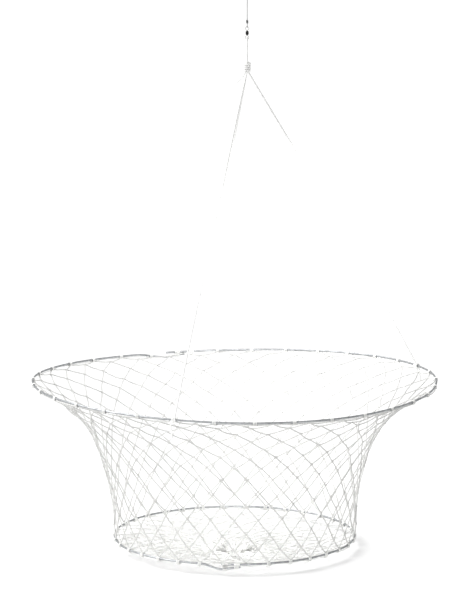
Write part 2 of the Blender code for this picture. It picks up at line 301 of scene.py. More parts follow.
def piece(name, mesh, body, slot, *nodes):
    """A finished piece in its place: it rides on a body, if it has one, and stands for the named solids."""
    mesh.name = name
    obj = bpy.data.objects.new(name, mesh)
    bpy.context.scene.collection.objects.link(obj)
    if body:
        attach(obj, body)
    if nodes:
        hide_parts(*nodes)
    return obj


def strands_mesh(paths, closed=False):
    """Polylines as the edges of one mesh, which the twine's node tree thickens."""
    verts, edges = [], []
    for path in paths:
        first = len(verts)
        verts.extend(path)
        edges.extend((k, k + 1) for k in range(first, len(verts) - 1))
        if closed:
            edges.append((len(verts) - 1, first))
    mesh = bpy.data.meshes.new("strands")
    mesh.from_pydata(verts, edges, [])
    return mesh


def grown(mesh, tree, values):
    """The plain mesh that a node tree makes from a mesh. The tree's inputs are set by name."""
    obj = bpy.data.objects.new("grown", mesh)
    bpy.context.scene.collection.objects.link(obj)
    modifier = obj.modifiers.new("grow", "NODES")
    modifier.node_group = tree
    for item in tree.interface.items_tree:
        if item.item_type == "SOCKET" and item.in_out == "INPUT" and item.name in values:
            modifier[item.identifier] = values[item.name]
    found = obj.evaluated_get(bpy.context.evaluated_depsgraph_get())
    result = bpy.data.meshes.new_from_object(found)
    bpy.data.objects.remove(obj)
    bpy.data.meshes.remove(mesh)
    return result


# ---- node trees ----


def tree_with(name, sockets):
    """A geometry node tree with its group input and output. Sockets are (name, kind, default)."""
    tree = bpy.data.node_groups.new(name, "GeometryNodeTree")
    tree.interface.new_socket("Geometry", in_out="INPUT", socket_type="NodeSocketGeometry")
    for label, kind, value in sockets:
        socket = tree.interface.new_socket(label, in_out="INPUT", socket_type="NodeSocket" + kind)
        if value is not None:
            socket.default_value = value
    tree.interface.new_socket("Geometry", in_out="OUTPUT", socket_type="NodeSocketGeometry")
    return tree, add(tree, "NodeGroupInput").outputs, add(tree, "NodeGroupOutput").inputs


def laid_cord_tree():
    """Laid cord along the edges of a mesh: a section of a few strands that turns as it runs."""
    sockets = [
        ("Diameter", "Float", 0.0018),
        ("Strands", "Int", 3),
        ("Lay", "Float", 3.2),
        ("Groove", "Float", 0.16),
        ("Sides", "Int", 6),
        ("Material", "Material", None),
    ]
    tree, given, out = tree_with("laid cord", sockets)
    runs = add(tree, "GeometryNodeMeshToCurve", {"Mesh": given["Geometry"]}).outputs[0]
    along = add(tree, "GeometryNodeSplineParameter").outputs["Length"]
    maths = "ShaderNodeMath"
    lay = add(tree, maths, {0: given["Diameter"], 1: given["Lay"]}, operation="MULTIPLY").outputs[0]
    turns = add(tree, maths, {0: along, 1: lay}, operation="DIVIDE").outputs[0]
    tilt = add(tree, maths, {0: turns, 1: 2 * math.pi}, operation="MULTIPLY").outputs[0]
    runs = add(tree, "GeometryNodeStoreNamedAttribute", {"Geometry": runs, "Name": "run", "Value": along})
    runs = add(tree, "GeometryNodeSetCurveTilt", {"Curve": runs.outputs[0], "Tilt": tilt}).outputs[0]
    circle = {"Resolution": given["Sides"], "Radius": 0.5}
    ring = add(tree, "GeometryNodeCurvePrimitiveCircle", circle).outputs[0]
    share = add(tree, "GeometryNodeSplineParameter").outputs["Factor"]
    marked = {"Geometry": ring, "Name": "around", "Value": share}
    ring = add(tree, "GeometryNodeStoreNamedAttribute", marked).outputs[0]
    angle = add(tree, maths, {0: share, 1: 2 * math.pi}, operation="MULTIPLY").outputs[0]
    angle = add(tree, maths, {0: angle, 1: given["Strands"]}, operation="MULTIPLY").outputs[0]
    wave = add(tree, maths, {0: angle}, operation="COSINE").outputs[0]
    # (wave - 1) / 2 is 0 on the back of a strand and -1 in the groove between two
    depth = add(tree, maths, {0: wave, 1: 0.5, 2: -0.5}, operation="MULTIPLY_ADD").outputs[0]
    shrink = add(tree, maths, {0: depth, 1: given["Groove"], 2: 1.0}, operation="MULTIPLY_ADD").outputs[0]
    size = add(tree, maths, {0: shrink, 1: given["Diameter"]}, operation="MULTIPLY").outputs[0]
    here = add(tree, "GeometryNodeInputPosition").outputs[0]
    place = add(tree, "ShaderNodeVectorMath", {0: here, "Scale": size}, operation="SCALE").outputs[0]
    ring = add(tree, "GeometryNodeSetPosition", {"Geometry": ring, "Position": place}).outputs[0]
    swept = {"Curve": runs, "Profile Curve": ring, "Fill Caps": True}
    tube = add(tree, "GeometryNodeCurveToMesh", swept).outputs[0]
    tube = add(tree, "GeometryNodeRealizeInstances", {"Geometry": tube}).outputs[0]
    tube = add(tree, "GeometryNodeSetMaterial", {0: tube, "Material": given["Material"]}).outputs[0]
    tree.links.new(tube, out[0])
    return tree


def net_knots_tree():
    """A knot on each point of a mesh. The points' own vectors say which way is out and which is along."""
    sockets = [
        ("Knot", "Object", None),
        ("Size", "Float", 0.005),
        ("Seed", "Int", 0),
        ("Material", "Material", None),
    ]
    tree, given, out = tree_with("net knots", sockets)
    facing = [
        add(tree, "GeometryNodeInputNamedAttribute", {"Name": name}, data_type="FLOAT_VECTOR").outputs[0]
        for name in ("outwards", "across")
    ]
    turn = add(
        tree,
        "FunctionNodeAxesToRotation",
        {0: facing[0], 1: facing[1]},
        primary_axis="Z",
        secondary_axis="X",
    )
    vary = add(tree, "FunctionNodeRandomValue", {2: 0.88, 3: 1.14, "Seed": given["Seed"]}).outputs[1]
    size = add(tree, "ShaderNodeMath", {0: vary, 1: given["Size"]}, operation="MULTIPLY").outputs[0]
    knot = add(tree, "GeometryNodeObjectInfo", {"Object": given["Knot"]}).outputs["Geometry"]
    tied = add(
        tree,
        "GeometryNodeInstanceOnPoints",
        {"Points": given["Geometry"], "Instance": knot, "Rotation": turn.outputs[0], "Scale": size},
    )
    real = add(tree, "GeometryNodeRealizeInstances", {"Geometry": tied.outputs[0]}).outputs[0]
    real = add(tree, "GeometryNodeSetMaterial", {0: real, "Material": given["Material"]}).outputs[0]
    tree.links.new(real, out[0])
    return tree


# ---- materials ----


def new_material(name):
    made = bpy.data.materials.new(name)
    made.use_nodes = True
    tree = made.node_tree
    return made, tree, tree.nodes["Principled BSDF"]


def galvanised_wire(name, clean, dull):
    """Hot-dip galvanised steel wire: a soft grey sheen, clouded where the zinc has dulled."""
    made, tree, shader = new_material(name)
    shader.inputs["Metallic"].default_value = 0.85
    place = add(tree, "ShaderNodeTexCoord").outputs["Object"]
    # zinc clouds about 7 mm across, and drawing marks and grains of 0.6 mm
    clouds = add(tree, "ShaderNodeTexNoise", {"Vector": place, "Scale": 140.0, "Detail": 3.0}).outputs[0]
    grain = add(tree, "ShaderNodeTexNoise", {"Vector": place, "Scale": 1600.0, "Detail": 2.0}).outputs[0]
    mix = add(tree, "ShaderNodeMapRange", {0: clouds, 1: 0.35, 2: 0.65}).outputs[0]
    colour = add(tree, "ShaderNodeMix", {0: mix, 6: (*dull, 1.0), 7: (*clean, 1.0)}, data_type="RGBA")
    rough = add(tree, "ShaderNodeMapRange", {0: clouds, 1: 0.3, 2: 0.7, 3: 0.52, 4: 0.34}).outputs[0]
    bump = add(tree, "ShaderNodeBump", {"Height": grain, "Strength": 0.25, "Distance": 0.0001}).outputs[0]
    for socket, source in (("Base Color", colour.outputs[2]), ("Roughness", rough), ("Normal", bump)):
        tree.links.new(source, shader.inputs[socket])
    return made


def laid_fibre(name, clean, soiled, roughness, sheen, fibres):
    """Twisted filaments: fine ridges that run along the strands, and a slow change of shade."""
    made, tree, shader = new_material(name)
    shader.inputs["Roughness"].default_value = roughness
    shader.inputs["Sheen Weight"].default_value = sheen
    shader.inputs["Sheen Roughness"].default_value = 0.4
    place = add(tree, "ShaderNodeTexCoord").outputs["Object"]
    run = add(tree, "ShaderNodeAttribute", attribute_name="run").outputs["Fac"]
    around = add(tree, "ShaderNodeAttribute", attribute_name="around").outputs["Fac"]
    # filaments are far finer than shows, so they are drawn as a few bundles round the cord
    long = add(tree, "ShaderNodeMath", {0: run, 1: 260.0}, operation="MULTIPLY").outputs[0]
    wide = add(tree, "ShaderNodeMath", {0: around, 1: fibres}, operation="MULTIPLY").outputs[0]
    way = add(tree, "ShaderNodeCombineXYZ", {0: long, 1: wide}).outputs[0]
    ridges = add(tree, "ShaderNodeTexNoise", {"Vector": way, "Scale": 1.0, "Detail": 2.0}).outputs[0]
    # shade changes over about 40 mm of twine
    shade = add(tree, "ShaderNodeTexNoise", {"Vector": place, "Scale": 26.0, "Detail": 2.0}).outputs[0]
    both = add(tree, "ShaderNodeMath", {0: ridges, 1: 0.35, 2: shade}, operation="MULTIPLY_ADD").outputs[0]
    share = add(tree, "ShaderNodeMapRange", {0: both, 1: 0.45, 2: 0.85}).outputs[0]
    colour = add(tree, "ShaderNodeMix", {0: share, 6: (*soiled, 1.0), 7: (*clean, 1.0)}, data_type="RGBA")
    bump = add(tree, "ShaderNodeBump", {"Height": ridges, "Strength": 0.5, "Distance": 0.0002}).outputs[0]
    tree.links.new(colour.outputs[2], shader.inputs["Base Color"])
    tree.links.new(bump, shader.inputs["Normal"])
    return made


def turned_metal(name, clean, worn, metallic, roughness):
    """Small metal parts, smooth from the die or the lathe, with a little wear in their shade."""
    made, tree, shader = new_material(name)
    shader.inputs["Metallic"].default_value = metallic
    place = add(tree, "ShaderNodeTexCoord").outputs["Object"]
    # wear marks about half a millimetre across
    marks = add(tree, "ShaderNodeTexNoise", {"Vector": place, "Scale": 1900.0, "Detail": 3.0}).outputs[0]
    share = add(tree, "ShaderNodeMapRange", {0: marks, 1: 0.55, 2: 0.75}).outputs[0]
    colour = add(tree, "ShaderNodeMix", {0: share, 6: (*clean, 1.0), 7: (*worn, 1.0)}, data_type="RGBA")
    rough = add(tree, "ShaderNodeMapRange", {0: marks, 3: roughness * 0.8, 4: roughness * 1.2}).outputs[0]
    tree.links.new(colour.outputs[2], shader.inputs["Base Color"])
    tree.links.new(rough, shader.inputs["Roughness"])
    return made


def pale_floor(colour):
    """A matt painted studio floor, with a very faint mottle of the roller, about 30 mm across."""
    made, tree, shader = new_material("matt painted studio floor")
    shader.inputs["Roughness"].default_value = 0.9
    shader.inputs["Specular IOR Level"].default_value = 0.1
    place = add(tree, "ShaderNodeTexCoord").outputs["Object"]
    mottle = add(tree, "ShaderNodeTexNoise", {"Vector": place, "Scale": 33.0, "Detail": 2.0}).outputs[0]
    dim = dimmed(colour, 0.985)
    paint = add(tree, "ShaderNodeMix", {0: mottle, 6: (*dim, 1.0), 7: (*colour, 1.0)}, data_type="RGBA")
    tree.links.new(paint.outputs[2], shader.inputs["Base Color"])
    return made


def dimmed(colour, share):
    return [value * share for value in colour]


def finishes():
    """Each material once, by a short name."""
    c = bpy.context.scene.trap_colours
    worn = [value * 3 + 0.01 for value in c.barrel]
    kinds = {
        "wire": (galvanised_wire, "hot-dip galvanised steel wire", c.wire, c.wire_dull),
        # off-white and a little glossy, greyer where it is soiled
        "netting": (laid_fibre, "three-strand nylon netting twine", c.twine, c.twine_shade, 0.55, 0.2, 9.0),
        # the same netting twine, painted whiter where many strands lie together: painted light, for the
        # light that passes from one to the next
        "off_white_and_painted_light": (
            laid_fibre,
            "bunched nylon netting twine",
            c.off_white_and_painted_light,
            dimmed(c.off_white_and_painted_light, 0.88),
            0.55,
            0.2,
            9.0,
        ),
        # tight, clean and bright against the wire
        "twine": (laid_fibre, "three-strand nylon lashing twine", c.lashing, c.off_white_and_painted_light, 0.6, 0.2, 9.0),
        # matt and soft, with shade only in its lay
        "cord": (laid_fibre, "laid white polyester cord", c.cord, c.off_white_and_painted_light, 0.65, 0.25, 14.0),
        # thin and even, with hardly any gloss
        "line": (laid_fibre, "braided grey polyester line", c.line, dimmed(c.line, 0.7), 0.6, 0.1, 10.0),
        # near black, with faint lighter wear
        "barrel": (turned_metal, "blackened turned brass", c.barrel, worn, 0.6, 0.35),
        # bright and sharp in its reflections
        "eye": (turned_metal, "bright drawn steel wire", c.eye, dimmed(c.eye, 0.8), 1.0, 0.25),
    }
    found = {}
    for short, (make, name, *values) in kinds.items():
        found[short] = bpy.data.materials.get(name) or make(name, *values)
    return found


# ---- the rings ----


def saddle(angle):
    return TOP_SADDLE * math.sin(2 * math.radians(angle + SADDLE_TURN))


def lap_drop(lap, past):
    """How far a wire's last stretch lies under its start, so many degrees past where they begin to lap."""
    down = smooth_step((past + LAP_RAMP) / LAP_RAMP)
    back = smooth_step(past / lap[1])
    return down * (LAP_DIP + LAP_BOW * (1.0 - back))


def ring_point(radius, z, lap, turned_by, bend=None):
    """The wire's centreline after so many degrees along it. Its last stretch dips under its start."""
    start, _, way = lap
    angle = start + way * turned_by
    height = z + (bend(angle) if bend else 0.0) - lap_drop(lap, turned_by - 360.0)
    a = math.radians(angle)
    # hand-bent wire is a little uneven
    radius += 0.0005 * math.sin(5 * a + 1.0) + 0.0003 * math.sin(11 * a)
    return Vector((BASKET_X + radius * math.cos(a), radius * math.sin(a), height))


def top_point(turned_by):
    return ring_point(TOP_RADIUS, TOP_Z, TOP_LAP, turned_by, saddle)


def bottom_point(turned_by):
    return ring_point(BOTTOM_RADIUS, BOTTOM_Z, BOTTOM_LAP, turned_by)


def along(lap, angle):
    """How many degrees of wire lie between its start and an angle."""
    return (angle - lap[0]) * lap[2] % 360.0


def section_at(point, where):
    """The wire's section there: X points outwards, Y points up and Z runs along the wire."""
    middle = point(where)
    run = (point(where + 0.2) - point(where - 0.2)).normalized()
    out = Vector((middle.x - BASKET_X, middle.y, 0.0)).normalized()
    out = (out - out.dot(run) * run).normalized()
    up = run.cross(out)
    if up.z < 0:
        run, up = -run, -up
    place = Matrix((out, up, run)).transposed().to_4x4()
    place.translation = middle
    return place


def wound(place, reach, pitch, turns, drop=0.0, start=0.0, per_turn=14):
    """A helix round the Z axis of a place. A drop stretches it downwards, over a second wire."""
    found = []
    count = round(turns * per_turn)
    for k in range(count + 1):
        angle = 2 * math.pi * k / per_turn + start
        x, y = reach * math.cos(angle), reach * math.sin(angle)
        low = smooth_step(0.5 - 0.8 * math.sin(angle))
        z = (k / count - 0.5) * pitch * turns
        found.append(place @ Vector((x, y - drop * low, z)))
    return found


def wire_mesh(point, lap, material, step=1.2):
    """Bent wire with rounded ends."""
    whole = 360.0 + lap[1]
    count = round(whole / step)
    curve = bpy.data.curves.new("wire", "CURVE")
    curve.dimensions = "3D"
    curve.bevel_depth = WIRE / 2
    curve.bevel_resolution = 5
    curve.use_fill_caps = True
    route = [point(whole * k / count) for k in range(count + 1)]
    # the cut ends are filed round over the last millimetre
    first, last = (route[1] - route[0]).normalized() * MM, (route[-2] - route[-1]).normalized() * MM
    ends = [route[0], route[0] + first * 0.3, route[0] + first]
    tails = [route[-1] + last, route[-1] + last * 0.3, route[-1]]
    full = [*ends, *route[1:-1], *tails]
    radii = [0.55, 0.86, *[1.0] * (len(full) - 4), 0.86, 0.55]
    spline = curve.splines.new("POLY")
    spline.points.add(len(full) - 1)
    for target, place, radius in zip(spline.points, full, radii):
        target.co = (*place, 1.0)
        target.radius = radius
    spline.use_smooth = True
    curve.materials.append(material)
    obj = bpy.data.objects.new("wire", curve)
    bpy.context.scene.collection.objects.link(obj)
    mesh = bpy.data.meshes.new_from_object(obj.evaluated_get(bpy.context.evaluated_depsgraph_get()))
    bpy.data.objects.remove(obj)
    bm = bmesh.new()
    bm.from_mesh(mesh)
    bmesh.ops.remove_doubles(bm, verts=bm.verts, dist=1e-6)
    bm.to_mesh(mesh)
    bm.free()
    mesh.shade_smooth()
    mesh.set_sharp_from_angle(angle=math.radians(50))
    return mesh


def laid(paths, diameter, material, closed=False, **values):
    """Laid cord along one or more paths, as a plain mesh."""
    tree = bpy.data.node_groups.get("laid cord") or laid_cord_tree()
    mesh = grown(strands_mesh(paths, closed), tree, {"Diameter": diameter, "Material": material, **values})
    mesh.shade_smooth()
    return mesh


CORD_LOOK = {"Strands": 3, "Lay": 3.4, "Groove": 0.22, "Sides": 12}
TWINE_LOOK = {"Strands": 3, "Lay": 3.2, "Groove": 0.2, "Sides": 6}
LINE_LOOK = {"Strands": 4, "Lay": 4.0, "Groove": 0.12, "Sides": 12}
LAYS = {  # for each finish, the record's slot and how its strands are laid
    "cord": ("cord", CORD_LOOK),
    "line": ("line", LINE_LOOK),
    "twine": ("twine", TWINE_LOOK),
    "netting": ("netting", TWINE_LOOK),
    "off_white_and_painted_light": ("netting", TWINE_LOOK),
}


def laid_piece(name, paths, diameter, finish, body, *nodes, closed=False):
    """Laid cord, line or twine along one or more paths, as a finished piece."""
    slot, look = LAYS[finish]
    return piece(name, laid(paths, diameter, finishes()[finish], closed, **look), body, slot, *nodes)


class TRAP_OT_rings(bpy.types.Operator):
    """Bend both rings and bind their lapped ends"""

    bl_idname = "trap.rings"
    bl_label = "Rings and seizings"

    def execute(self, context):
        use, sizes = finishes(), context.scene.trap_sizes
        top = wire_mesh(top_point, TOP_LAP, use["wire"])
        piece("top_ring_wire", top, "harness", "wire", "top_ring")
        bottom = wire_mesh(bottom_point, BOTTOM_LAP, use["wire"], 1.8)
        piece("bottom_ring_wire", bottom, "basket_floor", "wire", "bottom_ring")
        reach = WIRE / 2 + sizes.lashing / 2
        bindings = (
            ("top_ring_seizing", "harness", top_point, TOP_LAP, 0.6),
            ("bottom_seizing_left", "basket_floor", bottom_point, BOTTOM_LAP, 0.2),
            ("bottom_seizing_right", "basket_floor", bottom_point, BOTTOM_LAP, 0.8),
        )
        for node, body, point, lap, share in bindings:
            where = lap[1] * share
            place = section_at(point, where)
            route = wound(place, reach, sizes.lashing, 4.5, lap_drop(lap, where), per_turn=20)
            laid_piece(node + "_twine", [route], sizes.lashing, "twine", body, node)
        return {"FINISHED"}


# ---- lashings: what ties the netting to the rings ----


def lacing_route(point, lap, start, end, sizes):
    """Twine along the wire: three tight turns at each mesh, and a slow half turn on to the next."""
    reach = WIRE / 2 + sizes.lashing / 2
    room = 0.8  # degrees that a lashing needs to either side
    marks = sorted(along(lap, FIRST_LASHING + k * MESH_STEP) for k in range(MESHES_ROUND))
    marks = [where for where in marks if start + room < where < end - room]
    route = []
    per_turn, turns = 12, 3
    ring = TOP_RADIUS if point is top_point else BOTTOM_RADIUS
    degree = math.radians(1.0) * ring
    half = turns * sizes.lashing * 1.05 / 2 / degree
    before = start
    turned = -math.pi / 2
    for k, mark in enumerate(marks):
        # from the last lashing to this one, on the underside of the wire
        gap = mark - half - before
        count = max(3, round(gap * degree / 0.004))
        for n in range(count):
            share = n / count
            loose = sizes.lashing * 0.5 * math.sin(math.pi * share)
            sway = 0.9 * math.sin(math.pi * share) * (1 if k % 2 else -1)
            place = section_at(point, before + gap * share)
            angle = turned + sway
            x, y = (reach + loose) * math.cos(angle), (reach + loose) * math.sin(angle)
            route.append(place @ Vector((x, y, 0.0)))
        for n in range(turns * per_turn):
            place = section_at(point, mark - half + 2 * half * n / (turns * per_turn))
            angle = turned + 2 * math.pi * n / per_turn
            # under the wire, the turns reach round the net's edge too
            low = smooth_step(0.5 - 0.8 * math.sin(angle))
            x, y = reach * math.cos(angle), reach * math.sin(angle) - sizes.netting * 0.7 * low
            route.append(place @ Vector((x, y, 0.0)))
        before = mark + half
    return route


class TRAP_OT_lacing(bpy.types.Operator):
    """Lash the netting to both rings, one lashing for each mesh"""

    bl_idname = "trap.lacing"
    bl_label = "Lacings"

    def execute(self, context):
        sizes = context.scene.trap_sizes
        right, front, rear = (along(TOP_LAP, HITCH_ANGLES[side]) for side in ("right", "front", "rear"))
        clear = 2.2  # degrees from a hitch's middle
        rows = (
            ("top_lacing_right", "harness", top_point, TOP_LAP, rear + clear, right - clear),
            ("top_lacing_front", "harness", top_point, TOP_LAP, right + clear, front - clear),
            ("top_lacing_left", "harness", top_point, TOP_LAP, front + clear, 360.0 - clear),
            ("bottom_lacing", "basket_floor", bottom_point, BOTTOM_LAP, BOTTOM_LAP[1] + 3.0, 357.0),
        )
        for node, body, point, lap, start, end in rows:
            route = lacing_route(point, lap, start, end, sizes)
            laid_piece(node + "_twine", [route], sizes.lashing, "twine", body, node)
        return {"FINISHED"}


# ---- the nets ----


def side_profile():
    """Points down the side net, as (distance along the netting, radius, depth under the top ring)."""
    found, run, last = [], 0.0, None
    count = 400
    for k in range(count + 1):
        depth = NET_DEPTH * k / count
        radius = NET_WAIST * (1.0 + NET_FLARE * math.exp(-depth / FLARE_HEIGHT))
        if last:
            run += math.hypot(radius - last[0], depth - last[1])
        last = (radius, depth)
        found.append((run, radius, depth))
    return found


def side_place(profile, run, angle):
    """A point of the side net, and the way out of the net there."""
    share = min(max(run / profile[-1][0], 0.0), 1.0)
    k = max(1, next((n for n, row in enumerate(profile) if row[0] >= run), len(profile) - 1))
    a, b = profile[k - 1], profile[k]
    t = min(max((run - a[0]) / (b[0] - a[0]), 0.0), 1.0)
    radius, depth = a[1] + (b[1] - a[1]) * t, a[2] + (b[2] - a[2]) * t
    bend = saddle(angle) * (1.0 - share) ** 2
    turn = math.radians(angle)
    out = Vector((math.cos(turn), math.sin(turn), 0.0))
    place = Vector((BASKET_X, 0.0, TOP_Z - depth + bend)) + out * radius
    slope = Vector((b[2] - a[2], -(b[1] - a[1]))).normalized()
    return place, (out * slope.x + Vector((0.0, 0.0, -slope.y))).normalized()


def row_angles(row):
    """The angles of the knots of a row. Rows lie half a mesh round from their neighbours."""
    first = FIRST_LASHING if row % 2 else FIRST_LASHING + MESH_STEP / 2
    return [first + k * MESH_STEP for k in range(MESHES_ROUND)]


def strand(a, b, sag, count=10):
    """One bar of a mesh, from knot to knot, hanging a little out of the straight line."""
    return [a.lerp(b, k / count) + sag * (4 * (k / count) * (1 - k / count)) for k in range(count)]


def zigzag(upper, lower, shift, sag_of):
    """A closed strand that runs down and up between two rows of knots."""
    route = []
    for k, top in enumerate(upper):
        low = lower[(k + shift) % len(lower)]
        following = upper[(k + 1) % len(upper)]
        route.extend(strand(top, low, sag_of()))
        route.extend(strand(low, following, sag_of()))
    return route


def knot_shape():
    """A sheet bend about one unit wide, of two interlocked loops of 24 faces each."""
    sides, turns = 4, 6
    thick = 0.19  # half of the twine's width
    verts, faces = [], []
    loops = (
        (Vector((0.0, 0.10, 0.03)), 0.27, 0.22, 0.5),
        (Vector((0.0, -0.10, -0.03)), 0.24, 0.25, -0.6),
    )
    for middle, wide, tall, tip in loops:
        first = len(verts)
        for k in range(turns):
            a = 2 * math.pi * k / turns
            heart = middle + Vector((wide * math.cos(a), tall * math.sin(a), tip * 0.3 * math.cos(a)))
            out = Vector((math.cos(a), math.sin(a), 0.0))
            for n in range(sides):
                b = 2 * math.pi * n / sides
                verts.append(heart + (out * math.cos(b) + Vector((0, 0, 1)) * math.sin(b)) * thick)
        for k in range(turns):
            for n in range(sides):
                p, q = k * sides, (k + 1) % turns * sides
                m = (n + 1) % sides
                faces.append([first + p + n, first + q + n, first + q + m, first + p + m])
    mesh = bpy.data.meshes.new("sheet bend")
    mesh.from_pydata(verts, [], faces)
    mesh.shade_smooth()
    obj = bpy.data.objects.new("sheet bend", mesh)
    bpy.context.scene.collection.objects.link(obj)
    return obj


def knots_mesh(places, ways, size, seed, material):
    """Knots at places; ways are (out of the net, round the net)."""
    mesh = bpy.data.meshes.new("knots")
    mesh.from_pydata(places, [], [])
    for name, which in (("outwards", 0), ("across", 1)):
        attribute = mesh.attributes.new(name, "FLOAT_VECTOR", "POINT")
        attribute.data.foreach_set("vector", [x for way in ways for x in way[which]])
    tree = bpy.data.node_groups.get("net knots") or net_knots_tree()
    shape = bpy.data.objects.get("sheet bend") or knot_shape()
    values = {"Knot": shape, "Size": size, "Seed": seed, "Material": material}
    made = grown(mesh, tree, values)
    made.shade_smooth()
    bpy.data.objects.remove(shape)
    return made


def knots_piece(name, rows, ways, seed, finish, body):
    """A knot at each place of a net's rows, but for its first and last row, which are tied to something."""
    size = bpy.context.scene.trap_sizes.knot
    tied = [place for row in rows[1:-1] for place in row]
    facing = [way for row in ways[1:-1] for way in row]
    return piece(name, knots_mesh(tied, facing, size, seed, finishes()[finish]), body, "netting")


class TRAP_OT_side_net(bpy.types.Operator):
    """Knot the flared side net between the rings"""

    bl_idname = "trap.side_net"
    bl_label = "Side net"

    def execute(self, context):
        sizes = context.scene.trap_sizes
        chance = random.Random(sizes.seed)
        profile = side_profile()
        whole = profile[-1][0]
        rows, ways = [], []
        for row in range(-1, len(KNOT_ROWS) + 1):
            run = 0.0 if row < 0 else whole if row == len(KNOT_ROWS) else KNOT_ROWS[row] * MM
            places, facing = [], []
            for angle in row_angles(row):
                turn = math.radians(angle)
                if 0 <= row < len(KNOT_ROWS):
                    spread = sizes.uneven * (1.5 if run < whole * 0.4 else 1.0)
                    swing = math.degrees(chance.gauss(0.0, spread * 0.6) / NET_WAIST)
                    here = run + chance.gauss(0.0, spread * 0.6)
                    place, out = side_place(profile, here, angle + swing)
                    ripple = noise.noise(Vector((math.cos(turn), math.sin(turn), run * 9)) * 1.7)
                    place += out * ripple * 0.003
                elif row < 0:
                    wire = section_at(top_point, along(TOP_LAP, angle))
                    place = wire @ Vector((-0.0006, -WIRE * 0.75, 0.0))
                    out = Vector((0.0, 0.0, 1.0))
                else:
                    wire = section_at(bottom_point, along(BOTTOM_LAP, angle))
                    place = wire @ Vector((0.0004, WIRE * 0.75, 0.0))
                    out = Vector((1.0, 0.0, 0.0))
                places.append(place)
                facing.append((out, Vector((-math.sin(turn), math.cos(turn), 0.0))))
            rows.append(places)
            ways.append(facing)

        paths = []
        for k, (upper, lower) in enumerate(zip(rows, rows[1:])):
            loose = sizes.slack * (1.6 if k < 4 else 1.0)

            def sag():
                x, y, down = chance.gauss(0, 0.4), chance.gauss(0, 0.4), abs(chance.gauss(0.5, 0.5))
                return Vector((x, y, -down)) * loose

            # the knot below lies half a mesh on from the one above in every other row
            shift = 0 if k % 2 == 0 else 1
            paths.append(zigzag(upper, lower, shift, sag))
        net = laid_piece("side_net_twine", paths, sizes.netting, "netting", None, "side_net", closed=True)
        knots = knots_piece("side_net_knots", rows, ways, sizes.seed, "netting", None)
        for obj in (net, knots):
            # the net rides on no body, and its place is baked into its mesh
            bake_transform(obj)
        return {"FINISHED"}


